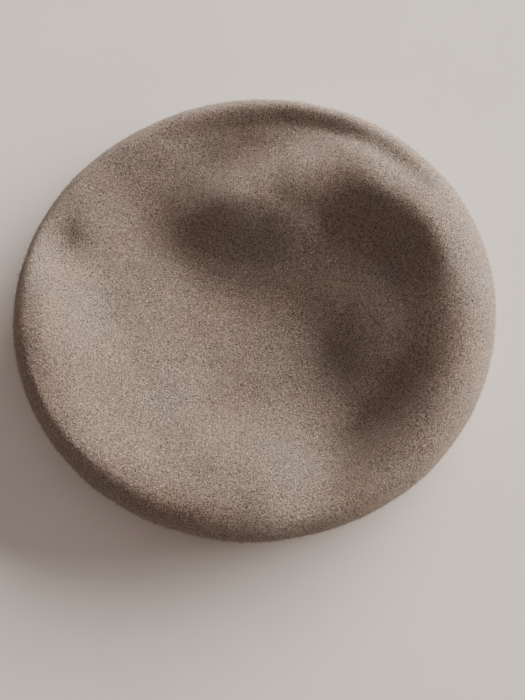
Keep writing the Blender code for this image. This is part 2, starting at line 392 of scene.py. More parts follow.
@dataclass(frozen=True)
class ClothFinish:
    """Woven cloth that follows the piece's UV map, which is in metres."""

    name: str
    colour: tuple[float, float, float]
    weft_colour: tuple[float, float, float]
    thread: float
    weave: Weave = Weave.PLAIN
    gloss: float = 0.35
    slub: float = 4.0 * MM
    slub_depth: float = 0.2 * MM
    cloud: float = 45.0 * MM

    def material(self) -> bpy.types.Material:
        """Return the material.

        Returns:
            Warp and weft drawn along the UV map.
        """
        graph = Graph(self.name)
        turn = math.pi / self.thread
        across, along = graph.thread_axes()
        warp = graph.maths("ABSOLUTE", graph.maths("SINE", across * turn))
        weft = graph.maths("ABSOLUTE", graph.maths("SINE", along * turn))
        step = graph.maths("SINE", across * (turn / self.weave.value) + along * turn)
        over = graph.spread(step, -0.15, 0.15)
        slub = graph.noise(graph.points(), self.slub, 3.0, 0.6)
        shade = graph.noise(graph.points(), self.cloud, 2.0, 0.5)
        thread = graph.maths("MAXIMUM", warp * over, weft * (1.0 - over))
        colour = graph.blend(over, rgba(self.weft_colour), rgba(self.colour))
        tone = 0.72 + 0.30 * thread + 0.14 * slub + 0.12 * shade
        dyed = graph.toned(tone, colour)
        normal = graph.bump(thread, 0.35 * self.thread, graph.bump(slub, self.slub_depth))
        return graph.finish(Base_Color=dyed, Normal=normal, Roughness=0.86 - 0.5 * self.gloss,
                            Sheen_Weight=0.3, Sheen_Roughness=0.35, Specular_IOR_Level=0.35)


@dataclass(frozen=True)
class YarnFinish:
    """Twisted thread or braided cord, with its plies along the UV map."""

    name: str
    colour: tuple[float, float, float]
    ply: float
    depth: float
    fuzz: float = 0.4 * MM

    def material(self) -> bpy.types.Material:
        """Return the material.

        Returns:
            Crossing plies drawn along the UV map.
        """
        graph = Graph(self.name)
        along, around = graph.thread_axes()
        travel, twist = along * (WHOLE_TURN / self.ply), around * (4 * WHOLE_TURN)
        left, right = graph.maths("SINE", travel + twist), graph.maths("SINE", travel - twist)
        braid = graph.spread(graph.maths("MAXIMUM", left, right), -0.2, 1.0)
        fuzz = graph.noise(graph.points(), self.fuzz, 2.0, 0.6)
        tone = 0.6 + 0.42 * braid + 0.25 * fuzz
        colour = graph.toned(tone, rgba(self.colour))
        normal = graph.bump(braid, self.depth, graph.bump(fuzz, 0.3 * self.depth))
        return graph.finish(Base_Color=colour, Normal=normal, Roughness=0.85,
                            Sheen_Weight=0.25, Sheen_Roughness=0.5, Specular_IOR_Level=0.2)


@dataclass(frozen=True)
class ThreadFinish:
    """Sewing thread, too fine for anything but its twist."""

    colour: tuple[float, float, float] = (0.16, 0.115, 0.08)
    twist: float = 0.5 * MM
    depth: float = 0.08 * MM

    def material(self) -> bpy.types.Material:
        """Return the material.

        Returns:
            Thread with a faint twist.
        """
        graph = Graph("sewing_thread")
        twist = graph.noise(graph.points(turn=(0, 0, 45), stretch=(3, 1, 1)), self.twist, 1.0)
        colour = graph.blend(twist, rgba(scaled(self.colour, 0.8)), rgba(scaled(self.colour, 1.3)))
        return graph.finish(Base_Color=colour, Normal=graph.bump(twist, self.depth),
                            Roughness=0.6, Sheen_Weight=0.2)


@dataclass(frozen=True)
class BrassFinish:
    """Darkened brass, tarnished darker in soft random clouds, with fine scratches."""

    colour: tuple[float, float, float] = (0.30, 0.225, 0.13)
    cloud: float = 1.6 * MM
    scratch: float = 1.2 * MM
    scratch_depth: float = 0.03 * MM

    def material(self) -> bpy.types.Material:
        """Return the material.

        Returns:
            Tarnished metal with fine scratches.
        """
        graph = Graph("darkened_brass")
        cloud = graph.noise(graph.points(), self.cloud, 4.0, 0.6)
        brushed = graph.points(turn=(0, 0, 30), stretch=(1, 9, 1))
        scratch = graph.noise(brushed, self.scratch, 2.0)
        tarnish = graph.spread(cloud, 0.4, 0.72)
        colour = graph.blend(tarnish, rgba(self.colour), rgba(scaled(self.colour, 0.42)))
        rough = 0.28 + 0.25 * tarnish + 0.08 * scratch
        return graph.finish(Base_Color=colour, Metallic=1.0, Roughness=rough,
                            Normal=graph.bump(scratch, self.scratch_depth))


@dataclass(frozen=True)
class FloorFinish:
    """Plain pale floor with a barely visible unevenness."""

    colour: tuple[float, float, float] = (0.88, 0.83, 0.75)
    cloud: float = 0.16

    def material(self) -> bpy.types.Material:
        """Return the material.

        Returns:
            A pale tone with soft clouds.
        """
        graph = Graph("pale_floor")
        cloud = graph.noise(graph.points(), self.cloud, 4.0, 0.6, 0.6)
        colour = graph.blend(graph.spread(cloud, 0.3, 0.7), rgba(scaled(self.colour, 0.96)),
                             rgba(scaled(self.colour, 1.04)))
        return graph.finish(Base_Color=colour, Roughness=0.7, Specular_IOR_Level=0.3)


# ---------------------------------------------------------------------------------------------
# Meshes


def place_mesh(name: str, verts: Points, faces: Iterable[Sequence[int]],
               material: bpy.types.Material, uvs: Points | None = None) -> bpy.types.Object:
    """Return a new smooth object whose place is in its mesh.

    Args:
        name: The piece's name.
        verts: The points, one row each.
        faces: The corners of each face.
        material: Its material.
        uvs: One row for each point, or None.

    Returns:
        The object.
    """
    mesh = bpy.data.meshes.new(name)
    mesh.from_pydata([tuple(point) for point in verts], [], [tuple(face) for face in faces])
    mesh.materials.append(material)
    if uvs is not None:
        corners = np.empty(len(mesh.loops), np.int32)
        mesh.loops.foreach_get("vertex_index", corners)
        layer = mesh.uv_layers.new(name=UV_NAME)
        layer.data.foreach_set("uv", np.asarray(uvs, np.float32)[corners].ravel())
    mesh.validate()
    clean(mesh)
    mesh.shade_smooth()
    mesh.set_sharp_from_angle(angle=SHARP_ANGLE)
    return add_object(name, mesh)


def add_object(name: str, data: bpy.types.ID) -> bpy.types.Object:
    """Return a new object in the scene.

    Args:
        name: The object's name.
        data: Its mesh, curve, lamp or lens.

    Returns:
        The object.
    """
    item = bpy.data.objects.new(name, data)
    bpy.context.scene.collection.objects.link(item)
    return item


def clean(mesh: bpy.types.Mesh) -> None:
    """Remove points that no face uses, and make every face of a closed mesh point outwards.

    Args:
        mesh: A closed mesh.
    """
    solid = bmesh.new()
    solid.from_mesh(mesh)
    bmesh.ops.delete(solid, geom=[vert for vert in solid.verts if not vert.link_faces],
                     context="VERTS")
    bmesh.ops.recalc_face_normals(solid, faces=solid.faces)
    solid.to_mesh(mesh)
    solid.free()


def whole_turn(columns: int) -> Points:
    """Return the angles of a number of equal columns."""
    return np.linspace(0, WHOLE_TURN, columns, endpoint=False)


def ring(radius: Points | float, turns: Points, height: Points | float) -> Points:
    """Return points round the Z axis, one for each turn."""
    return np.column_stack((radius * np.cos(turns), radius * np.sin(turns),
                            np.broadcast_to(height, turns.shape)))


def strip_faces(near: Sequence[int], far: Sequence[int], closed: bool) -> Faces:
    """Return the faces between two rows of corners, without the ones that have no width.

    Args:
        near: The corners of one row.
        far: The corners of the next row.
        closed: Whether the rows meet their own start.

    Returns:
        The faces.
    """
    count = len(near)
    faces = []
    for index in range(count if closed else count - 1):
        after = (index + 1) % count
        corners = tuple(dict.fromkeys((near[index], near[after], far[after], far[index])))
        if len(corners) > 2:
            faces.append(corners)
    return faces


def swept_faces(rings: int, sides: int, closed: bool) -> Faces:
    """Return the faces over a row of rings that is closed on itself or capped at its ends.

    Args:
        rings: How many rings there are.
        sides: How many corners each ring has.
        closed: Whether the last ring meets the first.

    Returns:
        The faces.
    """
    index = np.arange(rings * sides).reshape(rings, sides)
    faces = []
    for near, far in zip(index, index[1:]):
        faces += strip_faces(near, far, True)
    if closed:
        return faces + strip_faces(index[-1], index[0], True)
    return faces + [tuple(index[0]), tuple(index[-1])]


def turned_solid(profile: Points, turns: Points, closed: bool) -> tuple[Points, Faces, Points]:
    """Return the points, faces and UVs of a profile swept round the Z axis.

    Args:
        profile: (radius, height) rows of a closed outline.
        turns: The angles of the sweep.
        closed: Whether the sweep meets its own start; if not, its ends are capped.

    Returns:
        Points, faces and UVs, which are in metres along and across.
    """
    count = len(profile)
    radius, height = profile[:, 0], profile[:, 1]
    verts = np.concatenate([ring(radius, np.full(count, turn), height) for turn in turns])
    steps = np.hypot(*np.diff(profile, axis=0).T)
    across = np.concatenate(([0.0], np.cumsum(steps)))
    uvs = np.concatenate([np.column_stack((np.full(count, turn * radius.mean()), across))
                          for turn in turns])
    return verts, swept_faces(len(turns), count, closed), uvs


def tube_loop(path: Points, radii: Points, sides: int) -> tuple[Points, Faces, Points]:
    """Return the points, faces and UVs of a tube round a path that meets its own start.

    Args:
        path: The middle line, one row for each ring.
        radii: The radius at each ring, or at each ring and side.
        sides: How many sides the tube has.

    Returns:
        Points, faces and UVs: metres along the tube, and one turn round it as 0 to 1.
    """
    following = np.roll(path, -1, 0) - np.roll(path, 1, 0)
    tangent = following / np.linalg.norm(following, axis=1)[:, None]
    side = np.cross(tangent, (0.0, 0.0, 1.0))
    side /= np.linalg.norm(side, axis=1)[:, None]
    up = np.cross(side, tangent)
    turns = whole_turn(sides)
    reach = np.broadcast_to(np.asarray(radii).reshape(len(path), -1), (len(path), sides))
    rings = (path[:, None] + side[:, None] * (reach * np.cos(turns))[..., None]
             + up[:, None] * (reach * np.sin(turns))[..., None])
    travel = np.concatenate(([0.0], np.cumsum(np.linalg.norm(np.diff(path, axis=0), axis=1))))
    uvs = np.stack(np.broadcast_arrays(travel[:, None], (turns / WHOLE_TURN)[None]), -1)
    return rings.reshape(-1, 3), swept_faces(len(path), sides, True), uvs.reshape(-1, 2)


# ---------------------------------------------------------------------------------------------
# The wool body's surface


@dataclass(frozen=True)
class Swell:
    """A place where the top is pushed up or pressed in: millimetres, and its turn in degrees."""

    x: float
    y: float
    length: float
    width: float
    turn: float
    rise: float

    def height(self, x: Points, y: Points) -> Points:
        """Return how far this swell moves the top at points in metres.

        Args:
            x: Metres to the right of the middle.
            y: Metres to the back of the middle.

        Returns:
            The rise at each point, in metres.
        """
        turn = math.radians(self.turn)
        right, back = x / MM - self.x, y / MM - self.y
        along = (right * math.cos(turn) + back * math.sin(turn)) / self.length
        across = (back * math.cos(turn) - right * math.sin(turn)) / self.width
        return self.rise * MM * np.exp(-along**2 - across**2)


def smooth_step(value: Points | float) -> Points:
    """Return 0 below 0, 1 above 1 and a smooth change between them."""
    share = np.clip(value, 0.0, 1.0)
    return share * share * (3 - 2 * share)


@dataclass
class WoolSurface:
    """The outside of the wool, from the middle of the top to the raw edge under it.

    Rows run from 0 to 4: the top to 1, the upper rim to 2, the lower rim to 3, and the
    underside to 4. Angles run round from +X.
    """

    half_width: float
    half_depth: float
    long_axis_turn: float = math.radians(8)
    felt: float = 2.4 * MM
    widest_height: float = 17.5 * MM
    widest_tilt: float = 6.0 * MM
    widest_direction: float = math.radians(-105)
    roll_under: float = 12.0 * MM
    crest_height: float = 36.0 * MM
    crest_tilt: float = 7.0 * MM
    crest_bulge: float = 6.0 * MM
    bulge_direction: float = math.radians(35)
    crest_inset: float = 0.135
    crest_inset_change: float = 0.07
    middle_height: float = 18.5 * MM
    slope_share: float = 0.41
    slope_change: float = 0.07
    long_slope_direction: float = math.radians(-50)
    form_fade: float = 0.15
    edge_radius: float = 94.72 * MM
    sewn_radius: float = 103.52 * MM
    under_radius: float = 106.52 * MM
    edge_height: float = 1.3 * MM
    under_height: float = 2.2 * MM
    under_rise: float = 6.0 * MM
    under_rows: tuple[float, ...] = (0.0, 0.3, 0.6, 0.8, 1.0)
    swells: tuple[Swell, ...] = (
        Swell(-29, 28, 62, 30, -36, -9.5),
        Swell(26, 72, 29, 28, 43, 15),
        Swell(-11, 72, 38, 24, 41, 15.5),
        Swell(23, 102, 72, 35, 12, -18),
        Swell(86, 51, 28, 15, -55, 7),
        Swell(61, 5, 48, 22, -99, 22),
        Swell(67, 19, 89, 22, 73, -15),
        Swell(60, -74, 50, 15, 51, -12.5),
        Swell(-56, -53, 90, 23, -33, 6),
        Swell(-140, 55, 43, 19, -34, -13),
        Swell(-58, 90, 40, 24, -50, 2),
    )

    def __post_init__(self) -> None:
        """Work out the oval's half axes from the half sizes of its box."""
        wide, deep = self.half_width**2, self.half_depth**2
        cos, sin = math.cos(self.long_axis_turn) ** 2, math.sin(self.long_axis_turn) ** 2
        self.long_half = math.sqrt((wide * cos - deep * sin) / (cos * cos - sin * sin))
        self.short_half = math.sqrt((deep * cos - wide * sin) / (cos * cos - sin * sin))

    def body_radius(self, angle: Points) -> Points:
        """Return the distance from the middle to the widest line of the rim.

        Args:
            angle: The angles.

        Returns:
            The radius at each angle.
        """
        along = np.cos(angle - self.long_axis_turn) / self.long_half
        across = np.sin(angle - self.long_axis_turn) / self.short_half
        return 1 / np.hypot(along, across)

    def crest(self, angle: Points) -> Points:
        """Return the height of the rim's crest."""
        bulge = self.crest_bulge * np.cos(2 * (angle - self.bulge_direction))
        return self.crest_height + self.crest_tilt * np.cos(angle) + bulge

    def widest(self, angle: Points) -> Points:
        """Return the height of the rim's widest line."""
        return self.widest_height + self.widest_tilt * np.cos(angle - self.widest_direction)

    def crest_share(self, angle: Points) -> Points:
        """Return where the crest runs, as a share of the body's radius."""
        return 1 - self.crest_inset - self.crest_inset_change * np.cos(angle)

    def form(self, share: Points, angle: Points) -> Points:
        """Return how far the swells move the top, fading out at the widest line.

        Args:
            share: The place, as a share of the body's radius.
            angle: The angles.

        Returns:
            The rise at each angle.
        """
        radius = share * self.body_radius(angle)
        x, y = radius * np.cos(angle), radius * np.sin(angle)
        fade = smooth_step((1 - share) / self.form_fade)
        return fade * sum(swell.height(x, y) for swell in self.swells)

    def outer(self, row: float, angle: Points) -> Points:
        """Return points on the outside of the wool at one row and several angles.

        Args:
            row: The row, from 0 to 4.
            angle: The angles.

        Returns:
            One point for each angle.
        """
        if row < 1:
            radius, height = self._top(row, angle)
        elif row < 2:
            radius, height = self._upper_rim(row - 1, angle)
        elif row < 3:
            radius, height = self._lower_rim(row - 2, angle)
        else:
            radius, height = self._underside(row - 3, angle)
        return ring(radius, angle, height)

    def _top(self, row: float, angle: Points) -> tuple[Points, Points]:
        """Return radius and height between the middle and the crest.

        Args:
            row: 0 in the middle and 1 at the crest.
            angle: The angles.

        Returns:
            The radii and the heights.
        """
        crest = self.crest_share(angle)
        share = row * crest
        slope = self.slope_share + self.slope_change * np.cos(angle - self.long_slope_direction)
        drop = smooth_step((crest - share) / slope)
        height = self.crest(angle) + (self.middle_height - self.crest(angle)) * drop
        return share * self.body_radius(angle), height + self.form(share, angle)

    def _upper_rim(self, row: float, angle: Points) -> tuple[Points, Points]:
        """Return radius and height between the crest and the widest line.

        Args:
            row: 0 at the crest and 1 at the widest line.
            angle: The angles.

        Returns:
            The radii and the heights.
        """
        crest = self.crest_share(angle)
        bend = row * math.pi / 2
        share = crest + (1 - crest) * math.sin(bend)
        widest = self.widest(angle)
        height = widest + (self.crest(angle) - widest) * math.cos(bend)
        return share * self.body_radius(angle), height + self.form(share, angle)

    def _lower_rim(self, row: float, angle: Points) -> tuple[Points, Points]:
        """Return radius and height between the widest line and the floor.

        Args:
            row: 0 at the widest line and 1 at the floor.
            angle: The angles.

        Returns:
            The radii and the heights.
        """
        bend = row * math.pi / 2
        radius = self.body_radius(angle) - self.roll_under * (1 - math.cos(bend))
        return radius, self.widest(angle) * (1 - math.sin(bend))

    def _underside(self, row: float, angle: Points) -> tuple[Points, Points]:
        """Return radius and height between the floor and the raw edge.

        Args:
            row: 0 at the floor and 1 at the raw edge.
            angle: The angles.

        Returns:
            The radii and the heights.
        """
        contact = self.body_radius(angle) - self.roll_under
        stations = (contact, contact - self.under_rise,
                    *(np.full_like(angle, radius) for radius in
                      (self.under_radius, self.sewn_radius, self.edge_radius)))
        rows = self.under_rows
        step = max(index for index in range(4) if rows[index] <= row + 1e-9)
        share = (row - rows[step]) / (rows[step + 1] - rows[step])
        radius = stations[step] + (stations[step + 1] - stations[step]) * share
        rise = smooth_step((contact - radius) / self.under_rise)
        drop = smooth_step((self.under_radius - radius) / (self.under_radius - self.sewn_radius))
        return radius, self.under_height * rise - (self.under_height - self.edge_height) * drop

    def inward(self, row: float, angle: Points) -> Points:
        """Return unit vectors from the outside into the wool, straight up at the underside.

        Args:
            row: The row, from 0 to 4.
            angle: The angles.

        Returns:
            One unit vector for each angle.
        """
        if row >= 3:
            return np.tile((0.0, 0.0, 1.0), (len(angle), 1))
        step = 1e-3
        if row < step:
            ends = self.outer(step, np.array((0, math.pi, math.pi / 2, -math.pi / 2)))
            across = np.cross(ends[0] - ends[1], ends[2] - ends[3])
            return np.tile(-across / np.linalg.norm(across), (len(angle), 1))
        down = self.outer(row + step, angle) - self.outer(row - step, angle)
        around = self.outer(row, angle + step) - self.outer(row, angle - step)
        across = np.cross(down, around)
        return -across / np.linalg.norm(across, axis=1)[:, None]

    def layer(self, row: float, angle: Points, depth: float | Points) -> Points:
        """Return points at a depth below the outside of the wool."""
        depths = np.broadcast_to(depth, angle.shape)[:, None]
        return self.outer(row, angle) + self.inward(row, angle) * depths


Depth = Callable[[float, Points], Points]


@dataclass
class Shell:
    """A closed layer between two depths over a patch of the wool body."""

    surface: WoolSurface
    rows: Points
    angles: Points
    near: Depth
    far: Depth
    closed: bool = True

    def _grid(self, depth: Depth) -> Points:
        """Return the points of one side, as rows by angles."""
        return np.array([self.surface.layer(row, self.angles, depth(row, self.angles))
                         for row in self.rows])

    def _flat(self, grid: Points) -> Points:
        """Return the UVs of one side in metres: round the body, and outwards along it.

        Args:
            grid: The points of the side, as rows by angles.

        Returns:
            The UVs, as rows by angles.
        """
        steps = np.linalg.norm(np.diff(grid, axis=0), axis=2)
        along = np.concatenate((np.zeros((1, grid.shape[1])), np.cumsum(steps, axis=0)))
        radius = float(np.hypot(grid[..., 0], grid[..., 1]).max())
        around = np.broadcast_to(self.angles * radius, along.shape)
        if self.rows[0] > 0:
            return np.stack((around, along), -1)
        return np.stack((along * np.cos(self.angles), along * np.sin(self.angles)), -1)

    def build(self, name: str, material: bpy.types.Material) -> bpy.types.Object:
        """Return the layer as an object.

        Args:
            name: The piece's name.
            material: Its material.

        Returns:
            The closed piece.
        """
        sides = [self._grid(self.near), self._grid(self.far)]
        height, width = sides[0].shape[:2]
        index = np.arange(2 * height * width).reshape(2, height, width)
        if self.rows[0] == 0:
            index[:, 0, :] = index[:, 0, :1]
        faces: Faces = []
        for side in index:
            for near, far in zip(side, side[1:]):
                faces += strip_faces(near, far, self.closed)
        if self.rows[0] > 0:
            faces += strip_faces(index[0, 0], index[1, 0], self.closed)
        faces += strip_faces(index[0, -1], index[1, -1], self.closed)
        if not self.closed:
            for edge in (0, -1):
                faces += strip_faces(index[0, :, edge], index[1, :, edge], False)
        verts = np.concatenate([side.reshape(-1, 3) for side in sides])
        uvs = np.concatenate([self._flat(side).reshape(-1, 2) for side in sides])
        return place_mesh(name, verts, faces, material, uvs)


def applied(item: bpy.types.Object) -> bpy.types.Mesh:
    """Return a new mesh with an object's modifiers applied.

    Args:
        item: The object.

    Returns:
        The mesh.
    """
    bpy.context.view_layer.update()
    graph = bpy.context.evaluated_depsgraph_get()
    return bpy.data.meshes.new_from_object(item.evaluated_get(graph))


def cut_hole(item: bpy.types.Object, centre: Points, radius: float, depth: float) -> None:
    """Cut an upright round hole through a mesh object.

    Args:
        item: The object.
        centre: A point on the hole's axis.
        radius: The hole's radius.
        depth: How far it reaches below and above that point.
    """
    drill_mesh = bpy.data.meshes.new("drill")
    shape = bmesh.new()
    bmesh.ops.create_cone(shape, cap_ends=True, segments=48, radius1=radius, radius2=radius,
                          depth=2 * depth)
    shape.to_mesh(drill_mesh)
    shape.free()
    drill = add_object("drill", drill_mesh)
    drill.location = tuple(centre)
    cut = item.modifiers.new("hole", "BOOLEAN")
    cut.operation, cut.solver, cut.object = "DIFFERENCE", "EXACT", drill
    whole, item.data = item.data, applied(item)
    item.modifiers.remove(cut)
    bpy.data.objects.remove(drill)
    bpy.data.meshes.remove(drill_mesh)
    bpy.data.meshes.remove(whole)


def level(depth: float) -> Depth:
    """Return a depth that is the same everywhere."""
    return lambda row, angle: np.full_like(angle, depth)


def deeper(depth: Depth, more: float) -> Depth:
    """Return a depth that is more everywhere."""
    return lambda row, angle: depth(row, angle) + more


def ripple(places: Points, size: float, seed: float) -> Points:
    """Return smooth noise of about -1 to 1 at points, with features of a size."""
    offset = Vector((seed, 2.3 * seed, -1.7 * seed))
    return np.array([noise.noise(Vector(place) / size + offset) for place in places])


# ---------------------------------------------------------------------------------------------
# Geometry Nodes helpers


class GeometryTree:
    """A Geometry Nodes tree with named number inputs, used once and then applied."""

    def __init__(self, name: str) -> None:
        """Make the tree with its geometry sockets.

        Args:
            name: The tree's name.
        """
        self.tree = bpy.data.node_groups.new(name, "GeometryNodeTree")
        for way in ("INPUT", "OUTPUT"):
            self.tree.interface.new_socket("Geometry", in_out=way,
                                           socket_type="NodeSocketGeometry")
        self.inlet = self.tree.nodes.new("NodeGroupInput")
        self.outlet = self.tree.nodes.new("NodeGroupOutput")
        self.values: dict[str, float] = {}

    def number(self, name: str, value: float) -> bpy.types.NodeSocket:
        """Add a named number input and return its socket.

        Args:
            name: The input's name.
            value: Its value.

        Returns:
            The socket.
        """
        self.tree.interface.new_socket(name, in_out="INPUT", socket_type="NodeSocketFloat")
        self.values[name] = value
        return self.inlet.outputs[name]

    def node(self, kind: str, settings: dict[str, Setting] | None = None,
             inputs: dict[str | int, Setting] | None = None) -> bpy.types.Node:
        """Return a new node, with settings, socket values and links."""
        return add_node(self.tree, kind, settings, inputs)

    def vector(self, x: Setting, y: Setting, z: Setting) -> bpy.types.NodeSocket:
        """Return a vector made of three numbers or sockets."""
        return self.node("ShaderNodeCombineXYZ", {}, {0: x, 1: y, 2: z}).outputs[0]

    def product(self, first: Setting, second: Setting) -> bpy.types.NodeSocket:
        """Return the product of two numbers or sockets."""
        return self.node("ShaderNodeMath", {"operation": "MULTIPLY"},
                         {0: first, 1: second}).outputs[0]

    def close(self, geometry: bpy.types.NodeSocket, material: bpy.types.Material) -> None:
        """End the tree with real geometry in a material.

        Args:
            geometry: The geometry, which may be instances.
            material: The material that all of it gets.
        """
        real = self.node("GeometryNodeRealizeInstances", {}, {0: geometry})
        dressed = self.node("GeometryNodeSetMaterial", {},
                            {"Geometry": real.outputs[0], "Material": material})
        self.tree.links.new(dressed.outputs[0], self.outlet.inputs[0])

    def apply(self, name: str, carrier: bpy.types.Object) -> bpy.types.Object:
        """Run the tree on a carrier, and return the result as a plain object.

        Args:
            name: The new piece's name.
            carrier: The object that the tree reads, which is removed.

        Returns:
            The new piece.
        """
        modifier = carrier.modifiers.new(name, "NODES")
        modifier.node_group = self.tree
        for item in self.tree.interface.items_tree:
            if item.in_out == "INPUT" and item.name in self.values:
                modifier[item.identifier] = self.values[item.name]
        mesh = applied(carrier)
        mesh.name = name
        mesh.shade_smooth()
        piece = add_object(name, mesh)
        bpy.data.objects.remove(carrier, do_unlink=True)
        bpy.data.node_groups.remove(self.tree)
        return piece


@dataclass(frozen=True)
class StitchRun:
    """A row of equal stitches along a line of points."""

    name: str
    pitch: float
    length: float
    radius: float

    def sew(self, path: Points, closed: bool, material: bpy.types.Material) -> bpy.types.Object:
        """Return the stitches as one piece.

        Args:
            path: The line that they follow.
            closed: Whether it meets its own start.
            material: The thread.

        Returns:
            The stitches.
        """
        line = bpy.data.curves.new(self.name + "_line", "CURVE")
        line.dimensions = "3D"
        spline = line.splines.new("POLY")
        spline.points.add(len(path) - 1)
        for point, place in zip(spline.points, path):
            point.co = (*place, 1.0)
        spline.use_cyclic_u = closed
        carrier = add_object(self.name + "_line", line)
        tree = GeometryTree(self.name + "_tree")
        pitch = tree.number("Pitch", self.pitch)
        length = tree.number("Stitch length", self.length)
        radius = tree.number("Thread radius", self.radius)
        points = tree.node("GeometryNodeCurveToPoints", {"mode": "LENGTH"},
                           {"Curve": tree.inlet.outputs[0], "Length": pitch})
        ball = tree.node("GeometryNodeMeshUVSphere", {},
                         {"Segments": 6, "Rings": 6, "Radius": 1.0})
        size = tree.vector(radius, radius, tree.product(length, 0.5))
        shape = tree.node("GeometryNodeTransform", {},
                          {"Geometry": ball.outputs["Mesh"], "Scale": size})
        placed = tree.node("GeometryNodeInstanceOnPoints", {}, {
            "Points": points.outputs["Points"], "Instance": shape.outputs[0],
            "Rotation": points.outputs["Rotation"]})
        tree.close(placed.outputs[0], material)
        piece = tree.apply(self.name, carrier)
        bpy.data.curves.remove(line)
        return piece


@dataclass(frozen=True)
class NapLayer:
    """Short loose fibres that stand out of the wool, laid over at random."""

    name: str
    tone: FibreFinish
    density: float
    length: float
    radius: float
    lay: float
    seed: int
    shortest: float = 0.45
    longest: float = 1.25

    def grow(self, skin: bpy.types.Mesh) -> bpy.types.Object:
        """Return the fibres as one piece.

        Args:
            skin: The outside of the wool, as an open mesh.

        Returns:
            The fibres.
        """
        tree = GeometryTree(self.name + "_tree")
        density = tree.number("Density", self.density)
        length = tree.number("Fibre length", self.length)
        lay = tree.number("Lay", self.lay)
        points = tree.node("GeometryNodeDistributePointsOnFaces", {}, {
            "Mesh": tree.inlet.outputs[0], "Density": density, "Seed": self.seed})
        strand = tree.node("GeometryNodeObjectInfo", {}, {"Object": self._strand()})
        back = tree.product(lay, -1.0)
        swing = tree.node("FunctionNodeRandomValue", {"data_type": "FLOAT_VECTOR"}, {
            "Min": tree.vector(back, back, -math.pi), "Max": tree.vector(lay, lay, math.pi),
            "Seed": self.seed + 1})
        turned = tree.node("FunctionNodeRotateRotation", {"rotation_space": "LOCAL"}, {
            0: points.outputs["Rotation"], 1: swing.outputs["Value"]})
        stretch = tree.node("FunctionNodeRandomValue", {"data_type": "FLOAT"}, {
            "Min": self.shortest, "Max": self.longest, "Seed": self.seed + 2})
        reach = tree.product(length, stretch.outputs[1])
        placed = tree.node("GeometryNodeInstanceOnPoints", {}, {
            "Points": points.outputs["Points"], "Instance": strand.outputs["Geometry"],
            "Rotation": turned.outputs[0], "Scale": tree.vector(reach, reach, reach)})
        tree.close(placed.outputs[0], self.tone.material())
        piece = tree.apply(self.name, add_object(self.name + "_skin", skin))
        bpy.data.objects.remove(bpy.data.objects[self.name + "_strand"], do_unlink=True)
        return piece

    def _strand(self) -> bpy.types.Object:
        """Return one bent fibre of unit length, three-sided and closed.

        Returns:
            The fibre, standing on the XY plane.
        """
        thick = self.radius / self.length
        root, bend, tip = (0.0, 0.0, -0.08), (0.16, 0.05, 0.52), (0.60, 0.30, 0.88)
        turns = whole_turn(3)
        verts = [*(ring(thick, turns, 0.0) + root), *(ring(0.8 * thick, turns, 0.0) + bend), tip]
        faces = [(2, 1, 0)]
        for side in range(3):
            after = (side + 1) % 3
            faces += [(side, after, 3 + after, 3 + side), (3 + side, 3 + after, 6)]
        mesh = bpy.data.meshes.new(self.name + "_strand")
        mesh.from_pydata([tuple(vert) for vert in verts], [], faces)
        return add_object(self.name + "_strand", mesh)


# ---------------------------------------------------------------------------------------------
# Sub-assemblies


def settle(piece: bpy.types.Object, body: str, slot: str, *nodes: str) -> bpy.types.Object:
    """Fix a finished piece to its body, and hide the nodes that it stands for.

    Args:
        piece: The piece.
        body: The body that it rides on.
        slot: Not used.
        nodes: The nodes that it replaces.

    Returns:
        The same piece.
    """
    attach(piece, body)
    if nodes:
        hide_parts(*nodes)
    LOG.info("%s: %d faces", piece.name, len(piece.data.polygons))
    return piece


def vent_place(end: str) -> Points:
    """Return the middle of one vent's underside."""
    low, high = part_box("eyelet_" + end)
    return np.array(((low.x + high.x) / 2, (low.y + high.y) / 2, low.z))


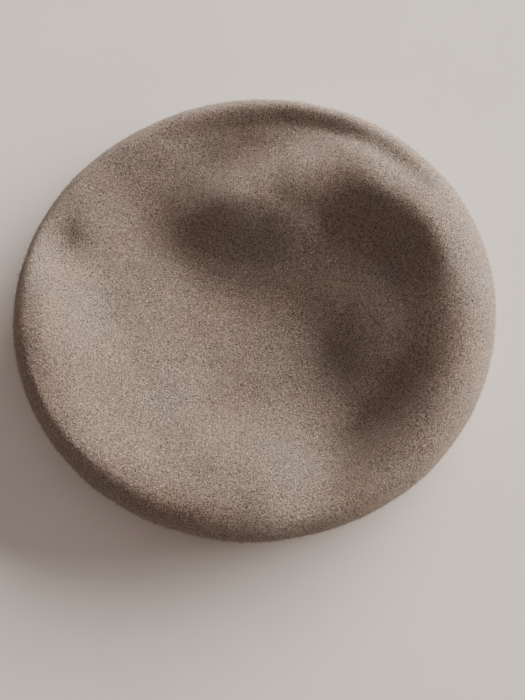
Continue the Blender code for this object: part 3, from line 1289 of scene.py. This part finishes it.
@dataclass
class Crown:
    """The wool body with its nap and its two vent holes."""

    surface: WoolSurface
    finish: WoolFinish = field(default_factory=WoolFinish)
    columns: int = 288
    top_rows: int = 100
    rim_rows: int = 40
    under_rows: int = 21
    skin_columns: int = 220
    skin_top_rows: int = 60
    skin_rim_rows: int = 40
    skin_start: float = 0.004
    calm_row: float = 2.2
    calm_reach: float = 0.7
    dimple: float = 0.35 * MM
    dimple_size: float = 17.0 * MM
    dimple_seed: float = 9.0
    wave: float = 0.5 * MM
    wave_size: float = 46.0 * MM
    wave_seed: float = 4.0
    bare_height: float = 2.2 * MM
    vent_hole: float = 2.4 * MM
    vent_depth: float = 9.0 * MM
    nap: tuple[NapLayer, ...] = (
        NapLayer("nap_pale", FibreFinish("fibre_pale", (0.46, 0.37, 0.30)),
                 100000, 1.5 * MM, 0.060 * MM, 1.0, 3),
        NapLayer("nap_light", FibreFinish("fibre_light", (0.34, 0.255, 0.20)),
                 160000, 1.6 * MM, 0.075 * MM, 1.0, 11),
        NapLayer("nap_mid", FibreFinish("fibre_mid", (0.25, 0.18, 0.14)),
                 160000, 1.7 * MM, 0.075 * MM, 1.1, 17),
        NapLayer("nap_dark", FibreFinish("fibre_dark", (0.14, 0.095, 0.072)),
                 120000, 1.5 * MM, 0.070 * MM, 1.1, 23),
    )

    def rows(self) -> Points:
        """Return the rows of the whole body.

        Returns:
            The rows, from the middle of the top to the raw edge.
        """
        top = np.linspace(0, 1, self.top_rows, endpoint=False)
        rim = np.linspace(1, 3, self.rim_rows, endpoint=False)
        return np.concatenate((top, rim, np.linspace(3, 4, self.under_rows)))

    def relief(self, row: float, angle: Points) -> Points:
        """Return the depth of the skin, which dips and swells a little down to the lower rim.

        Args:
            row: The row.
            angle: The angles.

        Returns:
            The depth at each angle.
        """
        places = self.surface.outer(row, angle)
        waves = self.wave * ripple(places, self.wave_size, self.wave_seed)
        dimples = self.dimple * ripple(places, self.dimple_size, self.dimple_seed)
        calm = 1 - smooth_step((row - self.calm_row) / self.calm_reach)
        return calm * (waves + dimples)

    def build(self) -> None:
        """Build the wool and its nap."""
        shell = Shell(self.surface, self.rows(), whole_turn(self.columns), self.relief,
                      level(self.surface.felt))
        wool = shell.build("wool_body", self.finish.material())
        for end in VENT_ENDS:
            cut_hole(wool, vent_place(end), self.vent_hole, self.vent_depth)
        settle(wool, "beret", "crown", "crown")
        for layer in self.nap:
            settle(layer.grow(self.skin()), "beret", "crown")

    def skin(self) -> bpy.types.Mesh:
        """Return the outside of the wool that the floor does not rub bare, as an open mesh.

        Returns:
            The mesh, with its faces turned outwards.
        """
        rows = np.concatenate((np.linspace(self.skin_start, 1, self.skin_top_rows),
                               np.linspace(1, 3, self.skin_rim_rows)[1:]))
        columns = whole_turn(self.skin_columns)
        grid = np.array([self.surface.layer(row, columns, self.relief(row, columns))
                         for row in rows])
        index = np.arange(grid.shape[0] * grid.shape[1]).reshape(grid.shape[:2])
        height = grid[..., 2].ravel()
        faces = []
        for near, far in zip(index, index[1:]):
            faces += [face[::-1] for face in strip_faces(near, far, True)
                      if height[list(face)].min() > self.bare_height]
        mesh = bpy.data.meshes.new("skin")
        mesh.from_pydata([tuple(point) for point in grid.reshape(-1, 3)], [], faces)
        return mesh


@dataclass
class Headband:
    """The folded leather strip, its stitches, and the cord inside it."""

    opening_radius: float
    width: float = 12.0 * MM
    height: float = 5.0 * MM
    leather: float = 1.0 * MM
    back_gap: float = 16.0 * MM
    groove: float = 0.3 * MM
    stitch_inset: float = 2.5 * MM
    stitch_pitch: float = 3.2 * MM
    stitch_share: float = 0.8
    stitch_height: float = 0.26 * MM
    stitch_trim: float = 1.5 * MM
    thread_radius: float = 0.22 * MM
    strip_columns: int = 420
    cord_radius: float = 1.1 * MM
    cord_sides: int = 12
    cord_rings: int = 2200
    cord_braid: float = 1.65 * MM
    braid_depth: float = 0.08
    knot_thread: float = 0.8 * MM
    knot_half_length: float = 1.7 * MM
    knot_half_width: float = 1.35 * MM
    knot_inset: float = 0.5 * MM
    knot_rings: int = 160
    leather_finish: LeatherFinish = field(default_factory=LeatherFinish)
    cord_finish: YarnFinish = field(default_factory=lambda: YarnFinish(
        "braided_cord", (0.095, 0.072, 0.05), 1.6 * MM, 0.22 * MM))
    thread_finish: ThreadFinish = field(default_factory=ThreadFinish)

    def turns(self, count: int, trim: float = 0.0) -> Points:
        """Return angles round the head from one end of the strip to the other.

        Args:
            count: How many angles.
            trim: How far to stop short of each end, in metres.

        Returns:
            The angles.
        """
        half_gap = (self.back_gap / 2 + trim) / self.opening_radius
        start = math.pi / 2 + half_gap
        return np.linspace(start, start + 2 * (math.pi - half_gap), count)

    def profile(self) -> Points:
        """Return the strip's section, with rounded edges and a groove under the stitches.

        Returns:
            Rows of radius and height.
        """
        fold = self.height / 2
        centre, rim = self.opening_radius + fold, self.opening_radius + self.width
        groove = rim - self.stitch_inset
        bends = np.radians(np.linspace(270, 90, 17))
        outer = [(centre + fold * math.cos(bend), fold + fold * math.sin(bend)) for bend in bends]
        inside = fold - self.leather
        inner = [(centre + inside * math.cos(bend), fold + inside * math.sin(bend))
                 for bend in bends[::-1]]
        lip = 0.3 * self.leather
        across = (-0.9, -0.55, -0.25, 0.0, 0.25, 0.55, 0.9)
        dip = (0.0, 0.25, 0.85, 1.0, 0.85, 0.25, 0.0)
        sunk = [(groove + shift * MM, self.groove * share) for shift, share in zip(across, dip)]
        upper = [(radius, self.height - height) for radius, height in sunk]
        top_edge = [(rim - lip, self.height), (rim - 0.3 * lip, self.height - 0.3 * lip),
                    (rim, self.height - lip), (rim, self.height - self.leather)]
        low_edge = [(rim, self.leather), (rim, lip), (rim - 0.3 * lip, 0.3 * lip),
                    (rim - lip, 0.0)]
        return np.array(outer + upper + top_edge + inner + low_edge + sunk[::-1])

    def build(self) -> None:
        """Build the strip, its stitches and the cord."""
        verts, faces, uvs = turned_solid(self.profile(), self.turns(self.strip_columns), False)
        strip = place_mesh("binding_strip", verts, faces, self.leather_finish.material(), uvs)
        settle(strip, "beret", "headband_binding", "headband_binding")
        thread = self.thread_finish.material()
        radius = self.opening_radius + self.width - self.stitch_inset
        line = ring(radius, self.turns(LINE_POINTS, self.stitch_trim), self.stitch_height)
        run = StitchRun("binding_stitches", self.stitch_pitch,
                        self.stitch_share * self.stitch_pitch, self.thread_radius)
        settle(run.sew(line, False, thread), "beret", "headband_binding")
        self.build_cord()

    def build_cord(self) -> None:
        """Build the cord that runs round inside the fold, and its knot in the gap."""
        radius = self.opening_radius + self.height / 2
        turns = np.linspace(math.pi / 2, 2.5 * math.pi, self.cord_rings, endpoint=False)
        path = ring(radius, turns, self.height / 2)
        sides = whole_turn(self.cord_sides)
        travel = (turns - turns[0])[:, None] * radius
        ply = WHOLE_TURN / self.cord_braid
        braid = np.maximum(np.sin(travel * ply + 4 * sides), np.sin(travel * ply - 4 * sides))
        radii = self.cord_radius * (1 - self.braid_depth + self.braid_depth * braid)
        material = self.cord_finish.material()
        verts, faces, uvs = tube_loop(path, radii, self.cord_sides)
        cord = place_mesh("drawstring_cord", verts, faces, material, uvs)
        settle(cord, "drawstring", "drawstring", "drawstring")
        knot = self.knot_path(radius)
        verts, faces, uvs = tube_loop(knot, np.full(len(knot), self.knot_thread),
                                      self.cord_sides)
        settle(place_mesh("drawstring_knot", verts, faces, material, uvs),
               "drawstring", "drawstring")

    def knot_path(self, radius: float) -> Points:
        """Return the middle line of the small tight knot that ties the cord's ends.

        Args:
            radius: The radius of the cord's middle line.

        Returns:
            The points of a closed loop.
        """
        turns = whole_turn(self.knot_rings)
        wide = self.knot_half_width * (2 + np.cos(3 * turns)) / 3
        return np.column_stack((self.knot_half_length * np.sin(3 * turns),
                                radius - self.knot_inset + wide * np.cos(2 * turns),
                                self.height / 2 + wide * np.sin(2 * turns)))


@dataclass
class Lining:
    """The lining's two panels with their seam, the stiffener and the blank label."""

    surface: WoolSurface
    opening_radius: float
    depth: float = 4.0 * MM
    cloth: float = 0.35 * MM
    seam_row: float = 0.95
    pucker: float = 0.45 * MM
    pleats: int = 96
    tip_gathers: float = 0.22
    side_gathers: float = 0.45
    ease: float = 0.1 * MM
    slack: float = 0.3 * MM
    binding_width: float = 12.0 * MM
    hem_overlap: float = 6.0 * MM
    columns: int = 480
    tag_gap: float = 0.35 * MM
    tag_lift: float = 0.25 * MM
    tag_cloth: float = 0.25 * MM
    tag_half_angle: float = math.radians(7.5)
    tag_stitch_inset: float = math.radians(0.8)
    buckram: float = 0.9 * MM
    cloth_finish: ClothFinish = field(default_factory=lambda: ClothFinish(
        "lining_weave", (0.135, 0.108, 0.082), (0.175, 0.143, 0.110), 0.42 * MM,
        Weave.SATIN, 0.75))
    tape_finish: ClothFinish = field(default_factory=lambda: ClothFinish(
        "label_tape", (0.72, 0.70, 0.65), (0.80, 0.78, 0.73), 0.30 * MM, Weave.PLAIN, 0.5))
    buckram_finish: ClothFinish = field(default_factory=lambda: ClothFinish(
        "buckram", (0.52, 0.48, 0.40), (0.60, 0.56, 0.48), 0.9 * MM, Weave.PLAIN, 0.1))
    thread_finish: ThreadFinish = field(default_factory=lambda: ThreadFinish((0.22, 0.17, 0.12)))

    def hem_row(self) -> float:
        """Return the row of the side panel's inner edge, over the binding.

        Returns:
            The row.
        """
        sewn, edge = self.surface.sewn_radius, self.surface.edge_radius
        hem = self.opening_radius + self.binding_width - self.hem_overlap
        return 3.8 + 0.2 * (sewn - hem) / (sewn - edge)

    def gathers(self, reach: float) -> Depth:
        """Return a depth with small gathers that die out away from the seam.

        Args:
            reach: How far they reach from the seam, in rows.

        Returns:
            The depth.
        """
        def depth(row: float, angle: Points) -> Points:
            """Return the depth at one row and several angles."""
            fade = math.exp(-abs(row - self.seam_row) / reach)
            wander = 1.3 * np.sin(3 * angle + 0.7) + 0.8 * np.sin(7 * angle + 2.1)
            fold = 0.5 + 0.5 * np.sin(self.pleats * angle + wander)
            slack = self.slack * np.sin(5 * angle + 9 * row) ** 2 * smooth_step(2 * row)
            return self.depth + self.ease + self.pucker * fade * fold + slack * (row < 3)
        return depth

    def build(self) -> None:
        """Build the panels, seam, stiffener and label."""
        cloth = self.cloth_finish.material()
        turns = whole_turn(self.columns)
        tip_depth, side_depth = self.gathers(self.tip_gathers), self.gathers(self.side_gathers)
        tip = Shell(self.surface, np.linspace(0, self.seam_row, 90), turns, tip_depth,
                    deeper(tip_depth, self.cloth))
        side_rows = np.concatenate((np.linspace(self.seam_row + 0.003, 3, 70, endpoint=False),
                                    np.linspace(3, self.hem_row(), 16)))
        side = Shell(self.surface, side_rows, turns, side_depth, deeper(side_depth, self.cloth))
        panel = settle(tip.build("lining_tip_panel", cloth), "beret", "lining", "lining_tip")
        ring = settle(side.build("lining_side_panel", cloth), "beret", "lining", "lining_side")
        seam = self.build_seams()
        self.build_label()
        self.build_stiffener()

    def build_seams(self) -> bpy.types.Object:
        """Build the seam that joins the panels, and the hem stitches on the binding.

        Returns:
            The seam that joins the panels.
        """
        thread = self.thread_finish.material()
        turns = whole_turn(900)
        inside = self.depth + self.ease + self.cloth
        seam_depth = inside + 0.5 * self.pucker + self.ease
        line = self.surface.layer(self.seam_row - 0.012, turns, seam_depth)
        seam = StitchRun("lining_seam_stitches", 2.6 * MM, 2.1 * MM, 0.2 * MM)
        sewn = settle(seam.sew(line, True, thread), "beret", "lining")
        hem_line = self.surface.layer(self.hem_row() - 0.035, turns, inside + 0.05 * MM)
        hem = StitchRun("lining_hem_stitches", 3.2 * MM, 2.5 * MM, 0.2 * MM)
        settle(hem.sew(hem_line, True, thread), "beret", "lining")
        return sewn

    def build_label(self) -> None:
        """Build the blank tag and the stitches at its two ends."""
        back, half = math.pi / 2, self.tag_half_angle
        near = self.depth + self.cloth + self.tag_gap

        def depth(row: float, angle: Points) -> Points:
            """Return the depth of the tag, which lifts off the lining between its ends."""
            return near + self.tag_lift * np.clip(np.cos((angle - back) * 12), 0, 1)

        tag = Shell(self.surface, np.linspace(3.0, 3.6, 24),
                    np.linspace(back - half, back + half, 60), depth,
                    deeper(depth, self.tag_cloth), closed=False)
        piece = settle(tag.build("blank_label", self.tape_finish.material()), "beret",
                       "size_label", "size_label")
        thread = self.thread_finish.material()
        reach = half - self.tag_stitch_inset
        for name, turn in (("left", back - reach), ("right", back + reach)):
            line = np.concatenate([self.surface.layer(row, np.array([turn]), near + 0.36 * MM)
                                   for row in np.linspace(3.03, 3.57, 40)])
            run = StitchRun("label_stitches_" + name, 1.6 * MM, 1.2 * MM, 0.13 * MM)
            settle(run.sew(line, False, thread), "beret", "size_label")

    def build_stiffener(self) -> None:
        """Build the stiff panel between wool and lining at the wearer's left front."""
        angles = np.linspace(math.radians(-75), math.radians(-45), 60)
        start = self.surface.felt + self.tag_gap
        panel = Shell(self.surface, np.linspace(2.0, 3.6, 44), angles, level(start),
                      level(start + self.buckram), closed=False)
        settle(panel.build("stiffener_panel", self.buckram_finish.material()), "beret",
               "badge_stiffener", "badge_stiffener")


@dataclass
class Vents:
    """The two flanged eyelets and the washers that they are closed on."""

    surface: WoolSurface
    finish: BrassFinish = field(default_factory=BrassFinish)
    bore: float = 1.7 * MM
    barrel: float = 2.1 * MM
    lip: float = 2.8 * MM
    flange: float = 3.8 * MM
    clearance: float = 0.3 * MM
    washer: float = 0.3 * MM
    brass: float = 0.4 * MM
    ease: float = 0.08 * MM
    drop: float = 0.1 * MM
    columns: int = 72

    def build(self) -> None:
        """Build both vents where their nodes are."""
        material = self.finish.material()
        parts = (("vent_eyelet_", self._eyelet_profile(), "eyelet_"),
                 ("vent_washer_", self._washer_profile(), "eyelet_washer_"))
        for end in VENT_ENDS:
            centre = vent_place(end) * (1, 1, 0)
            for name, profile, node in parts:
                verts, faces, uvs = turned_solid(profile, whole_turn(self.columns), True)
                piece = place_mesh(name + end, verts + centre, faces, material, uvs)
                settle(piece, "beret", "eyelets", node + end)

    def _eyelet_profile(self) -> Points:
        """Return the eyelet's section: a domed flange, the barrel and the rolled lip.

        Returns:
            Rows of radius and height.
        """
        seat = self.surface.under_height - self.clearance
        washer = self.surface.under_height + self.surface.felt + self.clearance
        lip = washer + self.washer + self.clearance
        middle = (self.bore + self.flange) / 2
        reach = (self.flange - self.bore) / 2
        dome = [(middle - reach * math.cos(bend),
                 seat - self.drop - self.brass * math.sin(bend))
                for bend in np.linspace(0, math.pi, 17)]
        rolled = [((self.bore + self.lip) / 2 + (self.lip - self.bore) / 2 * math.cos(bend),
                   lip + self.washer * math.sin(bend)) for bend in np.linspace(0, math.pi, 11)]
        return np.array(dome + [(self.flange, seat), (self.barrel, seat), (self.barrel, lip)]
                        + rolled)

    def _washer_profile(self) -> Points:
        """Return the washer's section, with eased edges.

        Returns:
            Rows of radius and height.
        """
        low = self.surface.under_height + self.surface.felt + self.clearance
        hole, ease, high = self.barrel + self.clearance, self.ease, low + self.washer
        return np.array([(hole + ease, low), (self.flange - ease, low), (self.flange, low + ease),
                         (self.flange, high - ease), (self.flange - ease, high),
                         (hole + ease, high), (hole, high - ease), (hole, low + ease)])


# ---------------------------------------------------------------------------------------------
# Studio


@dataclass
class Studio:
    """The floor, the soft light and the camera."""

    elevation: float = 76.0
    distance: float = 0.60
    frame_width: float = 0.3061
    sensor: float = 24.0
    far: float = 20.0
    aim: tuple[float, float, float] = (0.0043, -0.0235, 0.013)
    window_direction: float = 40.0
    window_elevation: float = 14.0
    window_distance: float = 5.0
    window_size: tuple[float, float] = (8.2, 2.75)
    window_power: float = 1190.0
    window_colour: tuple[float, float, float] = (1.0, 0.95, 0.92)
    floor_half: float = 2.5
    sky: float = 0.30
    sky_colour: tuple[float, float, float] = (1.0, 0.84, 0.80)
    floor_finish: FloorFinish = field(default_factory=FloorFinish)

    def build(self) -> None:
        """Build everything round the beret."""
        self._floor()
        self._lights()
        self._camera()

    def _floor(self) -> None:
        """Lay the floor."""
        size = self.floor_half
        corners = np.array([(-size, -size, 0), (size, -size, 0), (size, size, 0),
                            (-size, size, 0)])
        floor = place_mesh("floor", corners, [(0, 1, 2, 3)], self.floor_finish.material())

    def _lights(self) -> None:
        """Set one broad low window at the back right, and a weak warm sky."""
        turn, rise = math.radians(self.window_direction), math.radians(self.window_elevation)
        towards = Vector((math.cos(rise) * math.cos(turn), math.cos(rise) * math.sin(turn),
                          math.sin(rise)))
        lamp = bpy.data.lights.new("window", "AREA")
        lamp.shape = "ELLIPSE"
        lamp.size, lamp.size_y = self.window_size
        lamp.energy = self.window_power
        lamp.color = self.window_colour
        holder = add_object("window", lamp)
        holder.matrix_world = (Matrix.Translation(towards * self.window_distance)
                               @ towards.to_track_quat("Z", "Y").to_matrix().to_4x4())
        world = bpy.data.worlds.new("sky")
        world.use_nodes = True
        background = world.node_tree.nodes["Background"]
        background.inputs["Color"].default_value = rgba(self.sky_colour)
        background.inputs["Strength"].default_value = self.sky
        bpy.context.scene.world = world

    def _camera(self) -> None:
        """Set the camera above the front edge, looking steeply down."""
        rise = math.radians(self.elevation)
        back = Vector((0.0, -math.cos(rise), math.sin(rise)))
        lens = bpy.data.cameras.new("camera")
        lens.sensor_fit = "HORIZONTAL"
        lens.sensor_width = self.sensor
        lens.lens = self.sensor * self.distance / self.frame_width
        lens.clip_end = self.far
        camera = add_object("camera", lens)
        camera.matrix_world = (Matrix.Translation(Vector(self.aim) + back * self.distance)
                               @ back.to_track_quat("Z", "Y").to_matrix().to_4x4())
        bpy.context.scene.camera = camera


def main() -> None:
    """Build the beret round the frame."""
    logging.basicConfig(level=logging.INFO, format="%(message)s")
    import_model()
    Studio().build()
    low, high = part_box("crown")
    surface = WoolSurface(half_width=(high.x - low.x) / 2, half_depth=(high.y - low.y) / 2)
    opening_radius = -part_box("headband_binding")[0].y - Headband.width
    Crown(surface).build()
    Headband(opening_radius).build()
    Lining(surface, opening_radius).build()
    Vents(surface).build()


if __name__ == "__main__":
    main()
